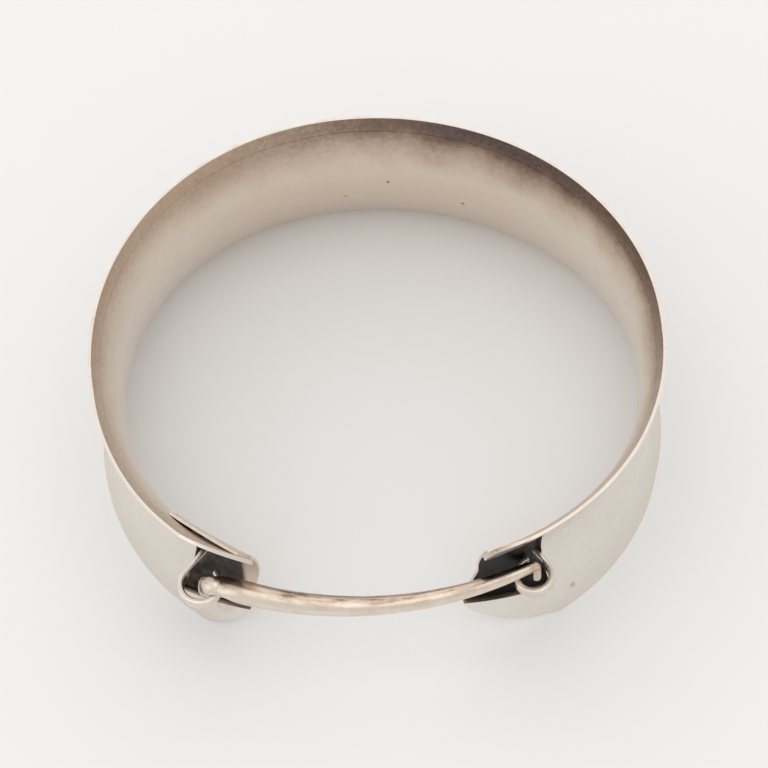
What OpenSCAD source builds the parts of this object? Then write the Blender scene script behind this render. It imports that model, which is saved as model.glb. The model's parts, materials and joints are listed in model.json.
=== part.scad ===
// Open silver bangle: a waisted sheet band whose ends are joined by a hooked clasp bar.
// Millimetres. +Z up, the lower rim stands on Z = 0, +Y points to the back of the wrist,
// and the gap with the clasp bar faces -Y.

/* [Band] */
// Height of the band, rim to rim
band_h = 22.2; // [18:0.2:26]
// Thickness of the silver sheet at the waist
sheet_t = 0.6; // [0.5:0.05:0.8]
// Thickness of the sheet at its filed rims
rim_t = 0.35; // [0.3:0.05:0.5]
// Half of the outer width, side to side
half_width = 32; // [31:0.5:34]
// Half of the outer depth, front to back
half_depth = 28.9; // [28:0.1:30]
// How far the hand-bent ring leans out of true
skew = 0.45; // [0:0.05:0.6]
// Waist depth at the left side
side_left = 2.8; // [2.3:0.1:3]
// Waist depth at the right side
side_right = 2.3; // [2:0.1:2.8]
// Waist depth at the back
waist_back = 3; // [2.6:0.1:4]
// Waist depth at the left end
waist_left = 3.9; // [3.6:0.1:4.2]
// Waist depth at the right end
waist_right = 3.1; // [2.9:0.1:3.6]
// How much wider the lower rim is than the upper one, each side
foot_flare = 0.35; // [0:0.05:0.5]
// How far the lower rim stands to the left of the upper one
foot_shift = 0.4; // [0:0.05:0.5]
// How far the upper rim is pushed out at the left end
left_push = 0.8; // [0.6:0.05:0.9]
// How far the lower rim is pushed out between the right end and the right side
right_push = 0.75; // [0.5:0.05:0.9]
// Bearing of the left end at its upper wing, seen from above
left_end = 243.6; // [242:0.2:245]
// Bearing of the right end at its upper wing, seen from above
right_end = 291.3; // [290.5:0.2:292.1]
// Height of the rounded corner of the left upper wing
upper_left_h = 4.2; // [3:0.2:4.4]
// Height of the rounded corner of the right upper wing
upper_right_h = 10; // [8:0.2:10.4]
// Height of the rounded corner of the left lower wing
lower_left_h = 6.4; // [5:0.2:7]
// Height of the rounded corner of the right lower wing
lower_right_h = 6.3; // [6:0.1:6.6]

/* [Recess] */
// Bearing of the root of the left slot, at its top
left_slot = 228.5; // [228:0.25:229]
// How far the left slot reaches above the waist, at its root
left_slot_up = 7.7; // [7:0.1:8]
// How far the left slot reaches below the waist, at its root
left_slot_down = 9.6; // [8.6:0.1:9.8]
// How far the left slot's root leans back towards its bottom
left_lean = 2.2; // [0:0.1:2.4]
// Bearing of the root of the right slot, at its top
right_slot = 305.5; // [305:0.25:306.5]
// How far the right slot reaches above the waist, at its root
right_slot_up = 5.7; // [5:0.1:7]
// How far the right slot reaches below the waist, at its root
right_slot_down = 7.2; // [6.8:0.1:7.6]
// How far the right slot's root leans forward towards its bottom
right_lean = 0.5; // [0:0.1:0.8]
// How much the top edge of each slot falls from its root to the band's end
slot_fall = 0.8; // [0:0.1:1.3]
// How much the bottom edge of each slot rises from its root to the band's end
slot_rise = 2.4; // [1.6:0.1:2.6]
// Thickness of the backing plate behind each slot
plate_t = 0.35; // [0.3:0.05:0.5]
// How far the backing plate laps over the sheet round the slot
plate_lap = 0.4; // [0.3:0.1:0.8]
// Widest gap between the sheet and the left plate, which is bent to a flatter curve
plate_gap = 0.3; // [0:0.05:0.35]

/* [Loops] */
// Thickness of the loop strip
strip_t = 0.65; // [0.5:0.05:0.65]
// Height of the loop strip
strip_h = 1.6; // [1.4:0.1:1.6]
// Inside radius of the left loop
left_loop_r = 1.85; // [1.8:0.05:1.95]
// Inside radius of the right loop
right_loop_r = 1.65; // [1.6:0.05:1.75]

/* [Clasp bar] */
// Greatest diameter of the bar, just right of its eye
bar_d = 2.7; // [2.4:0.1:2.8]
// Diameter of the bar where it turns down into the right loop
bar_tip_d = 1.36; // [1.2:0.02:1.4]
// Radius to which the bar is bowed
bow_r = 44; // [42:0.5:46]
// Inside radius of the closed eye
eye_r = 1.2; // [1.18:0.01:1.25]
// Thickness of the eye, from its hole to its rim
eye_t = 1.1; // [1:0.05:1.15]
// Width of the eye along its hole
eye_w = 2.1; // [1.8:0.1:2.2]
// Depth that the hook reaches below the bar's middle
hook_drop = 3.6; // [3:0.1:4]

/* [Hidden] */
$fn = 48;

mid_z = band_h / 2;
silver = "#d9d5cf";
aged_silver = "#4a423c";

// Middle height of the loop strips, a little below the waist. The bar lies on top of them: its
// middle is over theirs by the middle radius of its eye.
below_waist = 0.7;
strip_z = mid_z - below_waist;
bar_z = strip_z + eye_r + eye_t / 2;

// Centres of the loops, seen from above
left_loop_at = [-20.1, -23.85];
right_loop_at = [16.9, -23.8];

// Straight part of each strip, from its curl to the backing plate that it is soldered to
left_leg_l = 4.15;
right_leg_l = 2.35;

// Bearing at which each leg meets its curl, and the angle that the curl goes on for
left_leg_a = 140;
left_curl_a = 262;
right_leg_a = 40;
right_curl_a = 295;

// The eye turns round the strip where the left loop passes under the bar. The bar's free end
// rises and swings outwards, clear of the right upper wing, so the axis leans out of level.
pivot_a = -6;
pivot_off = 0.22;
pivot_r = left_loop_r + pivot_off;
axis_a = -2;
axis_lean = 17.5;
pivot = [left_loop_at[0] + pivot_r * cos(pivot_a), left_loop_at[1] + pivot_r * sin(pivot_a), strip_z];

// The bow's lowest point, seen from above
bow_at = [-2, -27.55];

// ---- The ring seen from above: bearing t in degrees, outer face of the rim ----
skew_across = 0.6;
three_lobed = 0.2;
function rim_x(t) = half_width * cos(t) - skew * skew_across * sin(2 * t);
function rim_y(t) = half_depth * sin(t) - skew * sin(2 * t) + three_lobed * sin(3 * t);
function rim(t) = [rim_x(t), rim_y(t)];

// Unit normal of the ring, pointing inwards
function along(t) = rim(t + 0.5) - rim(t - 0.5);
function inward(t) = [-along(t)[1], along(t)[0]] / norm(along(t));

// Waist depth at a bearing: the sides, the back and the two ends each have their own
function side_waist(t) = cos(t) < 0 ? side_left : side_right;
function end_waist(t) = cos(t) < 0 ? waist_left : waist_right;
function waist(t) = side_waist(t)
    + (waist_back - side_waist(t)) * pow(max(0, sin(t)), 2)
    + (end_waist(t) - side_waist(t)) * pow(max(0, -sin(t)), 2);

// Inward displacement of the sheet's outer face at a height above the waist
function sink(t, z) = waist(t) * (1 - pow(2 * z / band_h, 2));

// Thickness of the sheet at a height above the waist
function thick(z) = sheet_t + (rim_t - sheet_t) * pow(2 * z / band_h, 4);

// Outward push by which the ring is fuller than its oval towards its two ends. On the left it
// grows towards the end, all of it above the lower rim. On the right it is a swelling, strongest
// at the lower rim, which lies a little further from the end at the upper rim.
left_push_from = 190;
left_push_run = 52;
right_push_from = 288;
right_push_run = 66;
right_push_drift = 16;
right_push_fade = 0.6;
function part_way(t, from, run) = min(1, max(0, ((t + 360) % 360 - from) / run));
function left_out(t, high) = sin(t) > 0 ? 0
    : left_push * (0.5 + high) * sin(90 * part_way(t, left_push_from, left_push_run));
function right_out(t, high) = right_push * (1 - right_push_fade * (0.5 + high))
    * sin(180 * part_way(t, right_push_from + right_push_drift * high, right_push_run));
function push(t, z) = cos(t) < 0 ? left_out(t, z / band_h) : right_out(t, z / band_h);

// A point at a bearing, at height z from the waist and depth inward of the outer face
function skin(t, z, depth) = let (
    low = 0.5 - z / band_h,
    at = rim(t) + inward(t) * (sink(t, z) + depth - foot_flare * low - push(t, z))
) [at[0] + foot_shift * z / band_h, at[1], z + mid_z];

// Angle that each end gives up at height z: the rounded corners of its wings, and by how much
// its lower wing is shorter or longer than its upper one
upper_left_run = 14.5;
lower_left_run = 12.8;
upper_right_run = 12;
lower_right_run = 22;
upper_left_blunt = 1.25;
lower_right_blunt = 1.5;
blunt = 2;
left_short = 1.3;
right_long = 3.9;
low_edge = 4.8;
function rounded(z, high, run, power) = let (over = max(0, abs(z) - (mid_z - high)) / high)
    run * (1 - pow(max(0, 1 - pow(over, power)), 1 / power));
function low_share(z) = min(1, max(0, -z / low_edge));
function left_cut(z) = z > 0
    ? rounded(z, upper_left_h, upper_left_run, upper_left_blunt)
    : rounded(z, lower_left_h, lower_left_run, blunt) + left_short * low_share(z);
function right_cut(z) = z > 0
    ? rounded(z, upper_right_h, upper_right_run, blunt)
    : rounded(z, lower_right_h, lower_right_run, lower_right_blunt) - right_long * low_share(z);

// Closed sheet over a grid of bearings and heights. It starts at the band's outer face, or at
// its inner face when it is a lining, and is as thick as the band or the backing plate. Its
// right and left ends are shaped like the band's own where ends is 1, and square where it is 0.
module sheet(from_t, to_t, z_low, z_high, lining, ends, across, length, gap = 0) {
    heights = [for (j = [0:across]) z_low + (z_high - z_low) * (1 - cos(180 * j / across)) / 2];
    starts = [for (z = heights) from_t + ends[0] * right_cut(z)];
    stops = [for (z = heights) to_t - ends[1] * left_cut(z)];
    side = (length + 1) * (across + 1);
    points = [
        for (inner = [0, 1])
        for (i = [0:length])
        for (j = [0:across])
        let (
            t = starts[j] + (stops[j] - starts[j]) * i / length,
            under = thick(heights[j]),
            off = gap * sin(180 * i / length)
        )
        skin(t, heights[j], lining ? under + off + inner * plate_t : inner * under)
    ];
    row = across + 1;
    faces = [
        for (i = [0:length - 1], j = [0:across - 1])
        let (a = i * row + j, b = a + row)
        each [[a, a + 1, b + 1], [a, b + 1, b]],
        for (i = [0:length - 1], j = [0:across - 1])
        let (a = side + i * row + j, b = a + row)
        each [[a, b + 1, a + 1], [a, b, b + 1]],
        for (i = [0:length - 1])
        let (a = i * row, b = a + row)
        each [[a, b, b + side], [a, b + side, a + side]],
        for (i = [0:length - 1])
        let (a = i * row + across, b = a + row)
        each [[a, b + side, b], [a, a + side, b + side]],
        for (j = [0:across - 1])
        each [[j, j + side, j + 1 + side], [j, j + 1 + side, j + 1]],
        for (j = [0:across - 1])
        let (a = length * row + j)
        each [[a, a + 1, a + 1 + side], [a, a + 1 + side, a + side]]
    ];
    polyhedron(points, faces);
}

// Cutter for a slot: a wedge-shaped plug square to the sheet, from the slot's root out past the
// band's end. Its top edge falls and its bottom edge rises towards the end, and the bottom of its
// root stands a step ahead of the top.
module slot_cutter(root_t, end_t, up, down, ahead) {
    foot = rim(root_t) + inward(root_t) * waist(root_t) / 2;
    tip = rim(end_t) + inward(end_t) * waist(end_t) / 2;
    run = tip - foot;
    past = 1.5;
    out_l = norm(run) * past;
    plug_t = 12;
    translate([foot[0], foot[1], mid_z])
        rotate([90, 0, atan2(run[1], run[0])])
        linear_extrude(plug_t, center = true)
        polygon([
            [ahead, -down],
            [out_l, slot_rise * past - down],
            [out_l, up - slot_fall * past],
            [0, up]
        ]);
}

module cuff_band() {
    color(silver)
        difference() {
            sheet(right_end - 360, left_end, -mid_z, mid_z, false, [1, 1], 14, 96);
            slot_cutter(left_slot, left_end, left_slot_up, left_slot_down, -left_lean);
            slot_cutter(right_slot, right_end, right_slot_up, right_slot_down, -right_lean);
        }
}

// Plate on the inside of the sheet, behind a slot. It laps past the slot's root by a few degrees
// and stops a little short of the band's end.
left_root_lap = 6.4;
right_root_lap = 3;
left_inset = 1;
right_inset = 0.2;

module left_backing_plate() {
    color(aged_silver)
        sheet(
            left_slot - left_root_lap, left_end - left_inset,
            -left_slot_down - plate_lap, left_slot_up + plate_lap, true, [0, 1], 10, 14, plate_gap
        );
}

module right_backing_plate() {
    color(aged_silver)
        sheet(
            right_end + right_inset, right_slot + right_root_lap,
            -right_slot_down - plate_lap, right_slot_up + plate_lap, true, [1, 0], 10, 14
        );
}

// A strip curled to a loop: an arc about the loop's centre, then a straight leg to the plate
module curled_strip(inside_r, start_a, sweep_a, leg_l) {
    rotate(start_a)
        rotate_extrude(angle = sweep_a)
        translate([inside_r, -strip_h / 2])
        square([strip_t, strip_h]);
    rotate(start_a)
        translate([inside_r, sweep_a > 0 ? -leg_l : 0, -strip_h / 2])
        cube([strip_t, leg_l, strip_h]);
}

module left_loop() {
    color(silver)
        translate([left_loop_at[0], left_loop_at[1], strip_z])
        curled_strip(left_loop_r, left_leg_a, left_curl_a, left_leg_l);
}

module right_loop() {
    color(silver)
        translate([right_loop_at[0], right_loop_at[1], strip_z])
        curled_strip(right_loop_r, right_leg_a, -right_curl_a, right_leg_l);
}

// ---- Clasp bar: a tapering rod on a bowed centre line, from the top of its eye to its hook ----
neck_on = 0.2;
bar_from = pivot[0] + neck_on;
bar_to = 15.9;
bar_rings = 36;
bar_sides = 20;
eye_sides = 16;
neck_l = 2.8;
taper = 0.8;
peg_r = 0.5;

function bow_y(x) = bow_at[1] + bow_r - sqrt(bow_r * bow_r - pow(x - bow_at[0], 2));
function bow_slope(x) = (x - bow_at[0]) / sqrt(bow_r * bow_r - pow(x - bow_at[0], 2));
function level(i) = let (x = bar_from + (bar_to - bar_from) * i / bar_rings) [x, bow_y(x), bar_z];

// Half thickness of the rod away from its neck: full beside the eye, slender at the hook
function left_to_go(x) = min(1, max(0, (bar_to - x) / (bar_to - bar_from - neck_l)));
function rod_r(x) = (bar_tip_d + (bar_d - bar_tip_d) * pow(left_to_go(x), taper)) / 2;

// The rod grows out of the flat eye along its neck, sooner in width than in thickness
function neck(x) = min(1, (x - bar_from) / neck_l);
function half_wide(x) = let (u = neck(x)) eye_w / 2 + (rod_r(x) - eye_w / 2) * u * (2 - u);
function half_tall(x) = let (u = neck(x)) eye_t / 2 + (rod_r(x) - eye_t / 2) * u * u * (3 - 2 * u);

// The hook's bend from level to straight down, a quarter turn that goes on from the bow
bend_r = 1.1;
bend_steps = 8;
bar_way = [1, bow_slope(bar_to), 0] / norm([1, bow_slope(bar_to)]);
bend_lead = 0.35;
bend_start = level(bar_rings) + bend_lead * bar_way;
hook_top = bend_start + bend_r * bar_way - [0, 0, bend_r];
function bend(i) = let (a = 90 * i / bend_steps) hook_top + bend_r * [
    -bar_way[0] * (1 - sin(a)),
    -bar_way[1] * (1 - sin(a)),
    cos(a)
];

module clasp_bar() {
    line = [
        for (i = [0:bar_rings]) level(i),
        for (i = [0:bend_steps]) bend(i),
        [hook_top[0], hook_top[1], bar_z - hook_drop]
    ];
    last = len(line) - 1;
    ways = [for (i = [0:last]) let (d = line[min(last, i + 1)] - line[max(0, i - 1)]) d / norm(d)];
    // Each ring lies across the rod: one arm stays level and the other completes the frame
    hook_arm = [-bar_way[1], bar_way[0], 0];
    arms = [for (i = [0:last]) i > bar_rings ? hook_arm
        : [-ways[i][1], ways[i][0], 0] / norm([ways[i][0], ways[i][1]])];
    // The hook thins from the bar's end to its tip
    down = [for (i = [0:last]) max(0, i - bar_rings) / (last - bar_rings)];
    wide = [for (i = [0:last]) half_wide(min(bar_to, line[i][0])) * (1 - down[i]) + peg_r * down[i]];
    tall = [for (i = [0:last]) half_tall(min(bar_to, line[i][0])) * (1 - down[i]) + peg_r * down[i]];
    points = [
        for (i = [0:last])
        for (k = [0:bar_sides - 1])
        let (a = 360 * k / bar_sides)
        line[i] + wide[i] * cos(a) * arms[i] + tall[i] * sin(a) * cross(ways[i], arms[i])
    ];
    faces = [
        for (i = [0:last - 1], k = [0:bar_sides - 1])
        let (a = i * bar_sides + k, b = i * bar_sides + (k + 1) % bar_sides)
        each [[a, b + bar_sides, b], [a, a + bar_sides, b + bar_sides]],
        [for (k = [0:bar_sides - 1]) k],
        [for (k = [0:bar_sides - 1]) last * bar_sides + bar_sides - 1 - k]
    ];
    color(silver)
        union() {
            polyhedron(points, faces);
            translate(pivot)
                rotate([90 + axis_lean, 0, axis_a])
                rotate_extrude()
                polygon([for (k = [1:eye_sides]) let (a = 360 * k / eye_sides) [
                    eye_r + eye_t / 2 * (1 + cos(a)),
                    eye_w / 2 * sin(a)
                ]]);
        }
}

cuff_band();
left_backing_plate();
right_backing_plate();
left_loop();
right_loop();
clasp_bar();
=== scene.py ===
import json
from math import cos, pi, radians, sin, sqrt

import bmesh
import bpy
from mathutils import Matrix, Vector, noise


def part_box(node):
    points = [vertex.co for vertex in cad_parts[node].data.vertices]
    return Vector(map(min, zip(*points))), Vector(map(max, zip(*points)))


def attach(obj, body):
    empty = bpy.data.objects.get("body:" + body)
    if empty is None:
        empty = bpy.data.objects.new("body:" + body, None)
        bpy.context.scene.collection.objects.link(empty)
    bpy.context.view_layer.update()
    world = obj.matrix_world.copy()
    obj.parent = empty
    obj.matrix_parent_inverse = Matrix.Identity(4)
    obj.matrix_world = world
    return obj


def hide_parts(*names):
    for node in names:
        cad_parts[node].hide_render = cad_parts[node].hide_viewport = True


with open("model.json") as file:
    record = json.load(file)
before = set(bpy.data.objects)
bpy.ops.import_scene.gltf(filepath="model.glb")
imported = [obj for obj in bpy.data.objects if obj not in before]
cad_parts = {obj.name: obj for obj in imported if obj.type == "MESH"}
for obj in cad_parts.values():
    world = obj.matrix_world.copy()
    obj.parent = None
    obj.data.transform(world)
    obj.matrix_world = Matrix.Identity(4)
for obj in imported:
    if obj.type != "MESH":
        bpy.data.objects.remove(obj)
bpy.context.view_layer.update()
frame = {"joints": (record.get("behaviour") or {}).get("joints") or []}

MM = 0.001

# ---------------------------------------------------------------- sizes, as in the CAD
BAND_H = (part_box("cuff_band")[1][2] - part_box("cuff_band")[0][2]) / MM
MID_Z = BAND_H / 2
SHEET_T, RIM_T = 0.6, 0.35
HALF_WIDTH, HALF_DEPTH = 32, 28.9
SKEW, SKEW_ACROSS, THREE_LOBED = 0.45, 0.6, 0.2
SIDE_LEFT, SIDE_RIGHT = 2.8, 2.3
WAIST_BACK, WAIST_LEFT, WAIST_RIGHT = 3.0, 3.9, 3.1
FOOT_FLARE, FOOT_SHIFT = 0.35, 0.4
LEFT_PUSH, LEFT_PUSH_FROM, LEFT_PUSH_RUN = 0.8, 190, 52
RIGHT_PUSH, RIGHT_PUSH_FROM, RIGHT_PUSH_RUN = 0.75, 288, 66
RIGHT_PUSH_DRIFT, RIGHT_PUSH_FADE = 16, 0.6
LEFT_END, RIGHT_END = 243.6, 291.3 - 360
LEFT_SHORT, RIGHT_LONG, LOW_EDGE = 1.3, 3.9, 4.8
# Height, run in degrees and bluntness of each wing's rounded corner
UPPER_LEFT, LOWER_LEFT = (4.2, 14.5, 1.25), (6.4, 12.8, 2)
UPPER_RIGHT, LOWER_RIGHT = (10, 12, 2), (6.3, 22, 1.5)
# Each slot: bearing of its root, reach above and below the waist, lean of its root in degrees
LEFT_SLOT = (228.5, 7.7, 9.6, -4.6)
RIGHT_SLOT = (305.5 - 360, 5.7, 7.2, 1.1)
SLOT_FALL, SLOT_RISE = 0.8, 2.4
PLATE_T, PLATE_LAP, PLATE_GAP = 0.35, 0.4, 0.3
LEFT_ROOT_LAP, RIGHT_ROOT_LAP = 6.4, 3  # degrees by which a plate runs on behind its slot's root
LEFT_INSET, RIGHT_INSET = 1, 0.2  # degrees by which a plate stops short of the sheet's end
LEFT_TURN, RIGHT_TURN = (140, 262), (40, -295)  # where a loop's curl starts, and its angle
LEFT_PALE = (-16.4, -14.9)  # x from which the left plate's end turns pale, to where it is all pale
ROOT_STEP = 0.5  # least bearing between the right slot's root column and the sheet's end
STRIP_T, STRIP_H = 0.65, 1.6
LEFT_LOOP_R, RIGHT_LOOP_R = 1.85, 1.65
LEFT_LOOP_AT, RIGHT_LOOP_AT = (-20.1, -23.85), (16.9, -23.8)
LEFT_LEG, RIGHT_LEG = 4.15, 2.35
BAR_D, BAR_TIP_D = 2.7, 1.36
BOW_R, BOW_AT = 44, (-2.0, -27.55)
EYE_R, EYE_T, EYE_W = 1.2, 1.1, 2.1
HOOK_DROP, BEND_R, PEG_R = 3.6, 1.1, 0.5
BAR_TO, NECK_L, TAPER, BEND_LEAD = 15.9, 2.8, 0.8, 0.35

HINGE = frame["joints"][0]
PIVOT = Vector(HINGE["pos_m"]) / MM
HINGE_AXIS = Vector(HINGE["axis"]).normalized()
STRIP_Z = PIVOT.z
BAR_Z = STRIP_Z + EYE_R + EYE_T / 2
BAR_FROM = PIVOT.x + 0.2


# ---------------------------------------------------------------- the ring's own shape
def rim(t):
    a = radians(t)
    return Vector((
        HALF_WIDTH * cos(a) - SKEW * SKEW_ACROSS * sin(2 * a),
        HALF_DEPTH * sin(a) - SKEW * sin(2 * a) + THREE_LOBED * sin(3 * a),
    ))


def inward(t):
    along = rim(t + 0.5) - rim(t - 0.5)
    return Vector((-along.y, along.x)).normalized()


def waist(t):
    a = radians(t)
    left = cos(a) < 0
    side = SIDE_LEFT if left else SIDE_RIGHT
    end = WAIST_LEFT if left else WAIST_RIGHT
    return side + (WAIST_BACK - side) * max(0, sin(a)) ** 2 + (end - side) * max(0, -sin(a)) ** 2


def thick(z):
    return SHEET_T + (RIM_T - SHEET_T) * (2 * z / BAND_H) ** 4


def part_way(t, start, run):
    return min(1.0, max(0.0, (t % 360 - start) / run))


def push(t, z):
    """How far the ring is pushed out of its oval near its two ends."""
    high = z / BAND_H
    if cos(radians(t)) >= 0:
        swell = part_way(t, RIGHT_PUSH_FROM + RIGHT_PUSH_DRIFT * high, RIGHT_PUSH_RUN)
        return RIGHT_PUSH * (1 - RIGHT_PUSH_FADE * (0.5 + high)) * sin(pi * swell)
    if sin(radians(t)) > 0:
        return 0.0
    return LEFT_PUSH * (0.5 + high) * sin(pi / 2 * part_way(t, LEFT_PUSH_FROM, LEFT_PUSH_RUN))


def skin(t, z, depth):
    """A point of the sheet at bearing t, z above the waist and depth inward of the outer face."""
    sink = waist(t) * (1 - (2 * z / BAND_H) ** 2)
    low = 0.5 - z / BAND_H
    at = rim(t) + inward(t) * (sink + depth - FOOT_FLARE * low - push(t, z))
    return Vector((at.x + FOOT_SHIFT * z / BAND_H, at.y, z + MID_Z))


def rounded(z, high, run, blunt):
    over = max(0.0, abs(z) - (MID_Z - high)) / high
    return run * (1 - max(0.0, 1 - over**blunt) ** (1 / blunt))


def low_share(z):
    return min(1.0, max(0.0, -z / LOW_EDGE))


def left_cut(z):
    return rounded(z, *UPPER_LEFT) if z > 0 else rounded(z, *LOWER_LEFT) + LEFT_SHORT * low_share(z)


def right_cut(z):
    return rounded(z, *UPPER_RIGHT) if z > 0 else rounded(z, *LOWER_RIGHT) - RIGHT_LONG * low_share(z)


# ---------------------------------------------------------------- mesh helpers
def add_object(name, points, faces, slots=None):
    mesh = bpy.data.meshes.new(name)
    mesh.from_pydata([tuple(Vector(p) * MM) for p in points], [], faces)
    if slots:
        mesh.polygons.foreach_set("material_index", slots)
    bm = bmesh.new()
    bm.from_mesh(mesh)
    bmesh.ops.recalc_face_normals(bm, faces=bm.faces)
    bm.to_mesh(mesh)
    bm.free()
    mesh.shade_smooth()
    obj = bpy.data.objects.new(name, mesh)
    bpy.context.collection.objects.link(obj)
    return obj


def ease_edges(obj, width, segments=3):
    bevel = obj.modifiers.new("eased_edges", "BEVEL")
    bevel.width = width * MM
    bevel.segments = segments
    bevel.limit_method = "ANGLE"
    bevel.angle_limit = radians(40)
    bevel.harden_normals = False
    bevel.use_clamp_overlap = True
    normals = obj.modifiers.new("even_normals", "WEIGHTED_NORMAL")
    normals.weight = 80


def finish_piece(obj, body, node, slot, *materials):
    for m in materials:
        obj.data.materials.append(m)
    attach(obj, body)
    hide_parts(node)


def close_sheet(columns, rows, hole, outer, inner):
    """Points, faces and face slots of a closed sheet over a grid, less the cells in the hole.
    Slot 0 is the outer face, 1 the inner face, 2 the sheet's own rim and 3 the hole's edges."""
    width = rows + 1
    points = [outer(i, j) for i in range(columns + 1) for j in range(width)]
    points += [inner(i, j) for i in range(columns + 1) for j in range(width)]
    side = (columns + 1) * width
    cells = [(i, j) for i in range(columns) for j in range(rows) if not hole(i, j)]
    faces, slots, border = [], [], {}
    for i, j in cells:
        a, b = i * width + j, (i + 1) * width + j
        quad = (a, a + 1, b + 1, b)
        faces += [quad, tuple(side + k for k in reversed(quad))]
        slots += [0, 1]
        for e in zip(quad, quad[1:] + quad[:1]):
            if (e[1], e[0]) in border:
                del border[(e[1], e[0])]
            else:
                border[e] = True
    for a, b in border:
        faces.append((b, a, a + side, b + side))
        ends = [divmod(k, width) for k in (a, b)]
        on_rim = all(j in (0, rows) for i, j in ends) or all(i in (0, columns) for i, j in ends)
        slots.append(2 if on_rim else 3)
    used = sorted({k for f in faces for k in f})
    place = {k: n for n, k in enumerate(used)}
    return [points[k] for k in used], [tuple(place[k] for k in f) for f in faces], slots


# ---------------------------------------------------------------- cuff band
WING_ROWS, MIDDLE_ROWS = 14, 24
WING_COLUMNS, BACK_COLUMNS = 18, 360
UNEVEN = 0.035  # how far the hand-raised sheet strays from its true curve


def ease(u):
    return (1 - cos(pi * u)) / 2


def row_height(j, up, down):
    """Rows crowd towards the rims and the slot's edges."""
    if j < WING_ROWS:
        return -MID_Z + (MID_Z - down) * ease(j / WING_ROWS)
    if j <= WING_ROWS + MIDDLE_ROWS:
        return -down + (up + down) * ease((j - WING_ROWS) / MIDDLE_ROWS)
    return up + (MID_Z - up) * ease((j - WING_ROWS - MIDDLE_ROWS) / WING_ROWS)


def root_bearing(slot, z):
    """The root of a slot leans: its bottom is at another bearing than its top."""
    bearing, up, down, lean = slot
    return bearing + lean * min(1.0, max(0.0, (up - z) / (up + down)))


def band_place(i, j):
    """Bearing and height of a grid point. The first and last columns belong to the wings."""
    last = 2 * WING_COLUMNS + BACK_COLUMNS
    out = max(WING_COLUMNS - i, i - (last - WING_COLUMNS), 0) / WING_COLUMNS
    across = min(1.0, max(0.0, (i - WING_COLUMNS) / BACK_COLUMNS))
    up = RIGHT_SLOT[1] + (LEFT_SLOT[1] - RIGHT_SLOT[1]) * across - SLOT_FALL * out
    down = RIGHT_SLOT[2] + (LEFT_SLOT[2] - RIGHT_SLOT[2]) * across - SLOT_RISE * out
    z = row_height(j, up, down)
    right_end = RIGHT_END + right_cut(z)
    # The lower corner is cut back past the root, so the root's column gives way to it there
    right = max(root_bearing(RIGHT_SLOT, z), right_end + ROOT_STEP)
    left = root_bearing(LEFT_SLOT, z)
    if i < WING_COLUMNS:
        return right + (right_end - right) * out, z
    if i > last - WING_COLUMNS:
        return left + (LEFT_END - left_cut(z) - left) * out, z
    return right + (left - right) * across, z


def band_point(i, j, share):
    t, z = band_place(i, j)
    flat = rim(t)
    wave = noise.noise(Vector((flat.x, flat.y, z * 1.6)) / 9)
    return skin(t, z, share * thick(z) + UNEVEN * wave)


def in_slot(i, j):
    last = 2 * WING_COLUMNS + BACK_COLUMNS
    wing = i < WING_COLUMNS or i >= last - WING_COLUMNS
    return wing and WING_ROWS <= j < WING_ROWS + MIDDLE_ROWS


def make_band(outside, inside, edge, slot_edge):
    points, faces, slots = close_sheet(
        2 * WING_COLUMNS + BACK_COLUMNS, 2 * WING_ROWS + MIDDLE_ROWS, in_slot,
        lambda i, j: band_point(i, j, 0), lambda i, j: band_point(i, j, 1),
    )
    band = add_object("silver_band", points, faces, slots)
    ease_edges(band, 0.09)
    finish_piece(band, "cuff", "cuff_band", "silver", outside, inside, edge, slot_edge)


# ---------------------------------------------------------------- backing plates
def make_plate(name, node, place, slot, gap, face, edge):
    """A plate inside the sheet, between the bearings that place gives for each height."""
    columns, rows = 30, 40
    low, high = -slot[2] - PLATE_LAP, slot[1] + PLATE_LAP

    def point(i, j, share):
        z = low + (high - low) * ease(j / rows)
        from_t, to_t = place(z)
        t = from_t + (to_t - from_t) * ease(i / columns)
        return skin(t, z, thick(z) + gap * sin(pi * ease(i / columns)) + share * PLATE_T)

    points, faces, slots = close_sheet(
        columns, rows, lambda i, j: False, lambda i, j: point(i, j, 0), lambda i, j: point(i, j, 1))
    plate = add_object(name, points, faces, slots)
    ease_edges(plate, 0.07, 2)
    finish_piece(plate, "cuff", node, "aged_silver", face, edge, edge)


def left_plate_place(z):
    return LEFT_SLOT[0] - LEFT_ROOT_LAP, LEFT_END - LEFT_INSET - left_cut(z)


def right_plate_place(z):
    return RIGHT_END + RIGHT_INSET + right_cut(z), RIGHT_SLOT[0] + RIGHT_ROOT_LAP


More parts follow.
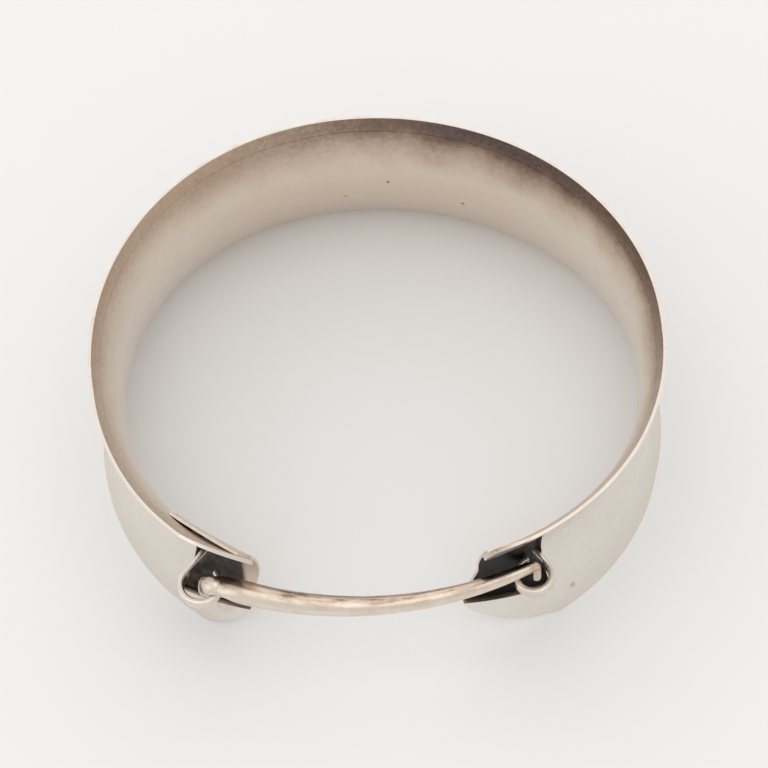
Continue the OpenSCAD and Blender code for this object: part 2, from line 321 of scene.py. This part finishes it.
# ---------------------------------------------------------------- loops
def make_loop(name, at, inside_r, start_a, sweep_a, leg, node, material):
    """A strip on edge: an arc round the loop's centre, then a straight leg to the plate."""
    steps = 56
    turn = 1 if sweep_a > 0 else -1
    mid_r = inside_r + STRIP_T / 2
    path = []
    for k in range(9):
        back = leg * (1 - k / 8)
        a = radians(start_a)
        way = Vector((sin(a), -cos(a))) * turn
        out = Vector((cos(a), sin(a)))
        path.append((out * mid_r + way * back, out))
    for k in range(1, steps + 1):
        a = radians(start_a + sweep_a * k / steps)
        out = Vector((cos(a), sin(a)))
        path.append((out * mid_r, out))
    points, faces = [], []
    for n, (middle, out) in enumerate(path):
        for across, up in ((-1, -1), (1, -1), (1, 1), (-1, 1)):
            p = Vector(at) + middle + out * across * STRIP_T / 2
            points.append((p.x, p.y, STRIP_Z + up * STRIP_H / 2))
        if n:
            a = 4 * (n - 1)
            faces += [(a + s, a + (s + 1) % 4, a + 4 + (s + 1) % 4, a + 4 + s) for s in range(4)]
    last = 4 * (len(path) - 1)
    faces += [(3, 2, 1, 0), (last, last + 1, last + 2, last + 3)]
    loop = add_object(name, points, faces)
    ease_edges(loop, 0.16)
    finish_piece(loop, "cuff", node, "silver", material)


# ---------------------------------------------------------------- clasp bar
def bow_y(x):
    return BOW_AT[1] + BOW_R - sqrt(BOW_R**2 - (x - BOW_AT[0]) ** 2)


def bow_slope(x):
    return (x - BOW_AT[0]) / sqrt(BOW_R**2 - (x - BOW_AT[0]) ** 2)


def rod_r(x):
    to_go = min(1, max(0, (BAR_TO - x) / (BAR_TO - BAR_FROM - NECK_L)))
    return (BAR_TIP_D + (BAR_D - BAR_TIP_D) * to_go**TAPER) / 2


def neck(x):
    """Shares of the full width and of the full thickness along the neck."""
    u = min(1, max(0, (x - BAR_FROM) / NECK_L))
    return u * (2 - u), u * u * (3 - 2 * u)


def rod_mesh():
    """The rod on its bowed line, its quarter bend and its straight peg."""
    rings, bend_steps, sides = 150, 16, 32
    way = Vector((1, bow_slope(BAR_TO), 0)).normalized()
    line = [Vector((x, bow_y(x), BAR_Z)) for x in
            (BAR_FROM + (BAR_TO - BAR_FROM) * i / rings for i in range(rings + 1))]
    top = line[-1] + way * (BEND_LEAD + BEND_R) - Vector((0, 0, BEND_R))
    for k in range(bend_steps + 1):
        a = pi / 2 * k / bend_steps
        line.append(top - way * BEND_R * (1 - sin(a)) + Vector((0, 0, BEND_R * cos(a))))
    line.append(Vector((top.x, top.y, BAR_Z - HOOK_DROP)))
    last = len(line) - 1
    hook_arm = Vector((-way.y, way.x, 0))
    points, faces = [], []
    for i, p in enumerate(line):
        d = (line[min(last, i + 1)] - line[max(0, i - 1)]).normalized()
        arm = hook_arm if i > rings else Vector((-d.y, d.x, 0)).normalized()
        up = d.cross(arm)
        down = max(0, i - rings) / (last - rings)
        r = rod_r(min(BAR_TO, p.x))
        wide_share, tall_share = neck(p.x)
        wide = (EYE_W / 2 + (r - EYE_W / 2) * wide_share) * (1 - down) + PEG_R * down
        tall = (EYE_T / 2 + (r - EYE_T / 2) * tall_share) * (1 - down) + PEG_R * down
        for k in range(sides):
            a = 2 * pi * k / sides
            points.append(p + arm * wide * cos(a) + up * tall * sin(a))
        if i:
            a = sides * (i - 1)
            faces += [(a + k, a + (k + 1) % sides, a + sides + (k + 1) % sides, a + sides + k)
                      for k in range(sides)]
    faces += [tuple(range(sides)), tuple(sides * last + k for k in reversed(range(sides)))]
    return points, faces


def eye_mesh():
    """A closed ring round the hinge axis, with an oval section that flares its hole."""
    rings, sides = 72, 20
    across = Vector((-HINGE_AXIS.y, HINGE_AXIS.x, 0)).normalized()
    up = HINGE_AXIS.cross(across)
    points, faces = [], []
    for i in range(rings):
        a = 2 * pi * i / rings
        out = across * cos(a) + up * sin(a)
        for k in range(sides):
            b = 2 * pi * k / sides
            r = EYE_R + EYE_T / 2 + EYE_T / 2 * cos(b)
            points.append(PIVOT + out * r + HINGE_AXIS * EYE_W / 2 * sin(b))
        for k in range(sides):
            n, m = (i + 1) % rings, (k + 1) % sides
            faces.append((i * sides + k, i * sides + m, n * sides + m, n * sides + k))
    return points, faces


def make_bar(material):
    rod_points, rod_faces = rod_mesh()
    eye_points, eye_faces = eye_mesh()
    shift = len(rod_points)
    bar = add_object("bowed_bar", rod_points + eye_points,
                     rod_faces + [tuple(k + shift for k in f) for f in eye_faces])
    # One skin over the rod and the eye, with their joints melted together
    weld = bar.modifiers.new("one_skin", "REMESH")
    weld.mode = "VOXEL"
    weld.voxel_size = 0.07 * MM
    weld.use_smooth_shade = True
    soft = bar.modifiers.new("soft_joints", "SMOOTH")
    soft.factor = 0.5
    soft.iterations = 6
    finish_piece(bar, "bar", "clasp_bar", "silver", material)


# ---------------------------------------------------------------- materials
class Nodes:
    """Short names for the few node kinds that the silver needs."""

    def __init__(self, name):
        self.material = bpy.data.materials.new(name)
        self.material.use_nodes = True
        self.tree = self.material.node_tree
        self.tree.nodes.clear()
        self.out = self.tree.nodes.new("ShaderNodeOutputMaterial")
        self.shader = self.tree.nodes.new("ShaderNodeBsdfPrincipled")
        self.link(self.shader.outputs[0], self.out.inputs["Surface"])
        self.place = self.tree.nodes.new("ShaderNodeTexCoord").outputs["Object"]

    def link(self, a, b):
        self.tree.links.new(a, b)

    def math(self, kind, a, b=0.0, c=0.0, clamp=False):
        n = self.tree.nodes.new("ShaderNodeMath")
        n.operation = kind
        n.use_clamp = clamp
        for socket, value in zip(n.inputs, (a, b, c)):
            if isinstance(value, (int, float)):
                socket.default_value = value
            else:
                self.link(value, socket)
        return n.outputs[0]

    def split(self, vector):
        n = self.tree.nodes.new("ShaderNodeSeparateXYZ")
        self.link(vector, n.inputs[0])
        return n.outputs

    def join(self, x, y, z):
        n = self.tree.nodes.new("ShaderNodeCombineXYZ")
        for socket, value in zip(n.inputs, (x, y, z)):
            if isinstance(value, (int, float)):
                socket.default_value = value
            else:
                self.link(value, socket)
        return n.outputs[0]

    def noise(self, vector, size, detail=3.0, rough=0.55):
        """Noise about 0.5, with features of the given size in millimetres."""
        n = self.tree.nodes.new("ShaderNodeTexNoise")
        n.inputs["Scale"].default_value = 1 / size
        n.inputs["Detail"].default_value = detail
        n.inputs["Roughness"].default_value = rough
        self.link(vector, n.inputs["Vector"])
        return n.outputs[0]

    def plus(self, a, b, clamp=False):
        return self.math("ADD", a, b, clamp=clamp)

    def minus(self, a, b, clamp=False):
        return self.math("SUBTRACT", a, b, clamp=clamp)

    def times(self, a, b):
        return self.math("MULTIPLY", a, b)

    def spread(self, value, low, high, to_low=0.0, to_high=1.0, smooth=True):
        n = self.tree.nodes.new("ShaderNodeMapRange")
        n.interpolation_type = "SMOOTHSTEP" if smooth else "LINEAR"
        self.link(value, n.inputs["Value"])
        for name, v in (("From Min", low), ("From Max", high), ("To Min", to_low), ("To Max", to_high)):
            n.inputs[name].default_value = v
        return n.outputs[0]

    def ramp(self, value, *stops):
        n = self.tree.nodes.new("ShaderNodeValToRGB")
        elements = n.color_ramp.elements
        while len(elements) < len(stops):
            elements.new(0.5)
        for e, (at, colour) in zip(elements, stops):
            e.position = at
            e.color = (*colour, 1)
        self.link(value, n.inputs[0])
        return n.outputs[0]

    def bump(self, height, depth):
        n = self.tree.nodes.new("ShaderNodeBump")
        n.inputs["Strength"].default_value = 1
        n.inputs["Distance"].default_value = depth * MM
        self.link(height, n.inputs["Height"])
        self.link(n.outputs[0], self.shader.inputs["Normal"])

    def round_the_ring(self):
        """Place as arc length from the back, height and radius, all in millimetres."""
        x, y, z = (self.math("DIVIDE", v, MM) for v in self.split(self.place))
        arc = self.math("MULTIPLY", self.math("ARCTAN2", x, y), 30)
        radius = self.math("SQRT", self.math("ADD", self.math("MULTIPLY", x, x), self.math("MULTIPLY", y, y)))
        return arc, z, radius, x, y

    def millimetres(self):
        n = self.tree.nodes.new("ShaderNodeVectorMath")
        n.operation = "SCALE"
        n.inputs["Scale"].default_value = 1 / MM
        self.link(self.place, n.inputs[0])
        return n.outputs[0]


# Linear colours of silver from clean to black with tarnish; the same ramp also colours painted shade
CLEAN = (0.85, 0.81, 0.76)
WARM = (0.73, 0.61, 0.50)
BEIGE = (0.50, 0.385, 0.305)
BROWN = (0.26, 0.182, 0.142)
VIOLET = (0.12, 0.092, 0.098)
BLACK = (0.045, 0.032, 0.026)
TARNISH_AND_SHADE = ((0.0, CLEAN), (0.25, WARM), (0.48, BEIGE), (0.68, BROWN), (0.86, VIOLET), (1.0, BLACK))


def silver(name, metal=1.0):
    n = Nodes(name)
    n.shader.inputs["Metallic"].default_value = metal
    return n


def near_line(n, value, at, half):
    """1 on a line where the value is what is given, fading to 0 at half its width."""
    off = n.math("ABSOLUTE", n.minus(value, at))
    return n.spread(off, half, 0)


def near_spot(n, across, up, at, radius):
    """1 at a spot, fading to 0 at its radius."""
    dx, dy = n.minus(across, at[0]), n.minus(up, at[1])
    off = n.math("SQRT", n.plus(n.times(dx, dx), n.times(dy, dy)))
    return n.spread(off, radius, radius / 3)


def total(n, *values):
    result = values[0]
    for v in values[1:]:
        result = n.plus(result, v)
    return result


def inner_silver():
    """The inside of the band: tarnished under the upper rim, with a thin line of painted shade there, fading
    to satin silver below.
    """
    n = silver("band_inside")
    arc, z, radius, x, y = n.round_the_ring()
    ring = n.join(arc, z, 0)
    streaks = n.join(n.times(arc, 0.12), n.times(z, 2.4), 0)
    # Darkest at the back right, and lightest on the left and towards the ends
    dark_side = n.times(n.spread(y, -20, 16), n.spread(x, -24, 16))
    clouds = n.noise(ring, 5.5, 4)
    mottle = n.noise(n.millimetres(), 0.55, 5, 0.7)
    lines = n.noise(streaks, 0.5, 2)
    drift = n.times(n.minus(clouds, 0.5), 5)
    upper = n.spread(n.plus(z, drift), 14.5, 22)
    under_rim = n.spread(n.plus(z, n.times(drift, 0.4)), 18.5, 21.5)
    level = n.times(upper, n.plus(n.times(dark_side, 0.2), 0.2))
    level = n.plus(level, n.times(under_rim, n.plus(n.times(dark_side, 0.22), 0.02)))
    fine = n.times(n.minus(mottle, 0.5), n.plus(n.times(upper, 0.3), 0.07))
    # A thin line of painted shade along a crease just under the rim
    crease_shade_line = n.times(near_line(n, n.plus(z, n.times(drift, 0.03)), 20.7, 0.12), 0.1)
    pits = [n.times(near_spot(n, arc, z, at, r), 0.5)
            for at, r in (((1.7, 12.7), 0.3), ((12.0, 10.0), 0.35), ((-4.3, 9.6), 0.25))]
    sides = n.times(n.spread(n.math("ABSOLUTE", x), 12, 28), -0.09)
    level = n.plus(total(n, level, fine, crease_shade_line, sides, *pits), 0.2, clamp=True)
    n.link(n.ramp(level, *TARNISH_AND_SHADE), n.shader.inputs["Base Color"])
    rough = total(n, n.times(level, 0.2), n.times(lines, 0.16))
    n.link(n.plus(rough, 0.18), n.shader.inputs["Roughness"])
    n.bump(total(n, lines, n.times(mottle, 0.6)), 0.01)
    return n.material


def outer_silver():
    """The outside of the band: worn bright, a faintly streaked patch under the left joint and one pit."""
    n = silver("band_outside")
    arc, z, radius, x, y = n.round_the_ring()
    ring = n.join(arc, z, 0)
    clouds = n.noise(ring, 6, 3)
    mottle = n.noise(n.millimetres(), 0.7, 4)
    low = n.spread(n.plus(z, n.times(clouds, 6)), 8, 0)
    patch = near_spot(n, n.times(arc, 0.8), z, (-59.5, 3.1), 1.5)
    rising, falling = n.plus(arc, z), n.minus(arc, z)
    streaks = n.noise(n.join(n.times(rising, 0.3), n.times(falling, 3), 0), 0.6, 4, 0.7)
    patch = n.times(patch, n.spread(streaks, 0.3, 0.75))
    level = total(n, n.times(low, 0.07), n.times(clouds, 0.1),
                  n.times(n.minus(mottle, 0.5), 0.1),
                  n.times(patch, 0.28),
                  n.times(near_spot(n, arc, z, (70.8, 2.1), 0.5), 0.3))
    n.link(n.ramp(n.minus(level, 0.03, clamp=True), *TARNISH_AND_SHADE), n.shader.inputs["Base Color"])
    n.link(n.spread(clouds, 0.3, 0.7, 0.2, 0.34), n.shader.inputs["Roughness"])
    n.bump(total(n, clouds, n.times(mottle, 0.2)), 0.02)
    return n.material


def worn_silver(name, level_add=0.05, rough=0.22):
    """Loops and edges: bright on what is rubbed, brown specks in the pores."""
    n = silver(name)
    place = n.millimetres()
    clouds = n.noise(place, 2.2, 3)
    specks = n.spread(n.noise(place, 0.35, 2), 0.6, 0.78)
    level = total(n, n.times(clouds, 0.25), n.times(specks, 0.2))
    level = n.plus(level, level_add - 0.08, clamp=True)
    n.link(n.ramp(level, *TARNISH_AND_SHADE), n.shader.inputs["Base Color"])
    n.link(n.spread(clouds, 0.3, 0.7, rough - 0.05, rough + 0.1), n.shader.inputs["Roughness"])
    n.bump(n.minus(clouds, n.times(specks, 0.4)), 0.015)
    return n.material


def bar_silver():
    """The bar: tan and streaked along its back and top with tarnish and painted shade, left pale along its
    front.
    """
    n = silver("bar_silver")
    arc, z, radius, x, y = n.round_the_ring()
    dx = n.minus(x, BOW_AT[0])
    chord = n.math("SQRT", n.minus(BOW_R**2, n.times(dx, dx)))
    behind = n.plus(n.minus(y, BOW_AT[1] + BOW_R), chord)
    along = n.join(n.times(x, 0.25), n.times(behind, 2), n.times(z, 2))
    streaks = n.noise(along, 0.9, 4, 0.6)
    clouds = n.noise(n.millimetres(), 2, 3)
    specks = n.spread(n.noise(n.millimetres(), 0.3, 2), 0.58, 0.75)
    # Darker along the bar's back and top: tarnish with painted shade
    back = n.spread(n.plus(behind, n.times(n.minus(clouds, 0.5), 0.8)), -1.0, 0.4)
    streaked = n.times(n.spread(streaks, 0.45, 0.68), n.plus(n.times(back, 0.3), 0.06))
    level = total(n, n.times(back, 0.2), streaked, n.times(specks, 0.12),
                  n.times(clouds, 0.16))
    n.link(n.ramp(n.plus(level, 0.06, clamp=True), *TARNISH_AND_SHADE), n.shader.inputs["Base Color"])
    n.link(n.spread(clouds, 0.3, 0.7, 0.26, 0.38), n.shader.inputs["Roughness"])
    n.bump(total(n, streaks, n.times(specks, -0.3)), 0.02)
    return n.material


def black_silver(name, low, high, pale=None):
    """The backing plates' outer faces: never polished, almost black from oxide and from painted shade
    of the recess, and pale between the two places across the ring that are given, if any."""
    n = silver(name, 0.5)
    place = n.millimetres()
    clouds = n.noise(place, 1.2, 4)
    shade = clouds
    # Near black: oxide of the recess with painted shade over it
    stops = [(0.38, low), (0.78, high)]
    if pale:
        across = n.round_the_ring()[3]
        shade = n.math("MAXIMUM", n.times(clouds, 0.78), n.spread(across, *pale))
        stops = [(0.3, low), (0.61, high), (1.0, WARM)]
    n.link(n.ramp(shade, *stops), n.shader.inputs["Base Color"])
    n.shader.inputs["Roughness"].default_value = 0.42
    n.shader.inputs["Specular IOR Level"].default_value = 0.15
    n.bump(clouds, 0.03)
    return n.material


def floor_white():
    n = Nodes("pale_floor")
    n.shader.inputs["Base Color"].default_value = (0.88, 0.88, 0.875, 1)
    n.shader.inputs["Roughness"].default_value = 0.9
    n.shader.inputs["Specular IOR Level"].default_value = 0.2
    return n.material


# ---------------------------------------------------------------- stage, lights and camera
def make_floor():
    half = 1.5
    mesh = bpy.data.meshes.new("floor")
    corners = [(-half, -half, 0), (half, -half, 0), (half, half, 0), (-half, half, 0)]
    mesh.from_pydata(corners, [], [(0, 1, 2, 3)])
    mesh.materials.append(floor_white())
    floor = bpy.data.objects.new("floor", mesh)
    bpy.context.collection.objects.link(floor)


def area_light(name, at, size, power, colour=(1, 1, 1)):
    data = bpy.data.lights.new(name, "AREA")
    data.shape = "RECTANGLE"
    data.size, data.size_y = size
    data.energy = power
    data.color = colour
    light = bpy.data.objects.new(name, data)
    light.location = at
    light.rotation_euler = (-Vector(at)).to_track_quat("-Z", "Y").to_euler()
    bpy.context.collection.objects.link(light)


def make_lights():
    area_light("overhead_softbox", (0.05, -0.15, 1.1), (1.2, 1.0), 2.2)
    area_light("back_softbox", (-0.15, 0.8, 0.8), (1.4, 0.8), 1.6)
    area_light("left_softbox", (-0.9, -0.2, 0.6), (0.8, 0.8), 0.8)
    world = bpy.data.worlds.new("pale_room")
    bpy.context.scene.world = world
    world.use_nodes = True
    background = world.node_tree.nodes["Background"]
    background.inputs["Color"].default_value = (0.8, 0.795, 0.785, 1)
    background.inputs["Strength"].default_value = 1


CAM_ELEVATION, CAM_AZIMUTH, CAM_ROLL = 64.0, 4.7, 5.89
CAM_DISTANCE = 425 * MM
PIXELS_PER_MM = 8.8203  # at the aim point, in a picture 768 wide
SHIFT_X, SHIFT_Y = 0.0046, 0.00035


def make_camera():
    data = bpy.data.cameras.new("camera")
    data.sensor_width = 36
    data.lens = PIXELS_PER_MM * CAM_DISTANCE / MM * data.sensor_width / 768
    data.shift_x, data.shift_y = SHIFT_X, SHIFT_Y
    data.clip_start, data.clip_end = 0.01, 10
    cam = bpy.data.objects.new("camera", data)
    e, a = radians(CAM_ELEVATION), radians(CAM_AZIMUTH)
    back = Vector((sin(a) * cos(e), -cos(a) * cos(e), sin(e)))
    aim = Vector((FOOT_SHIFT / 2, 0, MID_Z)) * MM
    cam.location = aim + back * CAM_DISTANCE
    turn = (-back).to_track_quat("-Z", "Y").to_matrix() @ Matrix.Rotation(-radians(CAM_ROLL), 3, "Z")
    cam.rotation_euler = turn.to_euler()
    bpy.context.collection.objects.link(cam)
    bpy.context.scene.camera = cam


inside, outside = inner_silver(), outer_silver()
edge, bright = worn_silver("edge_silver", 0.08, 0.3), worn_silver("loop_silver")
# Near-black plate faces: oxide with painted shade of the recesses behind the slots
left_dark_oxide_and_shade = black_silver("left_recess_oxide_and_shade", (0.012, 0.009, 0.007), (0.08, 0.065, 0.05), pale=LEFT_PALE)
right_dark_oxide_and_shade = black_silver("right_recess_oxide_and_shade", (0.003, 0.002, 0.0015), (0.014, 0.013, 0.015))
# The slots' cut edges are made darker all over: tarnish with painted shade inside the slots
make_band(outside, inside, edge, worn_silver("slot_edge_silver", 0.5, 0.35))
make_plate("left_plate", "left_backing_plate", left_plate_place, LEFT_SLOT, PLATE_GAP, left_dark_oxide_and_shade, inside)
make_plate("right_plate", "right_backing_plate", right_plate_place, RIGHT_SLOT, 0, right_dark_oxide_and_shade, inside)
make_loop("left_curl", LEFT_LOOP_AT, LEFT_LOOP_R, *LEFT_TURN, LEFT_LEG, "left_loop", bright)
make_loop("right_curl", RIGHT_LOOP_AT, RIGHT_LOOP_R, *RIGHT_TURN, RIGHT_LEG, "right_loop", bright)
make_bar(bar_silver())
make_floor()
make_lights()
make_camera()
bpy.context.scene.view_settings.view_transform = "Standard"
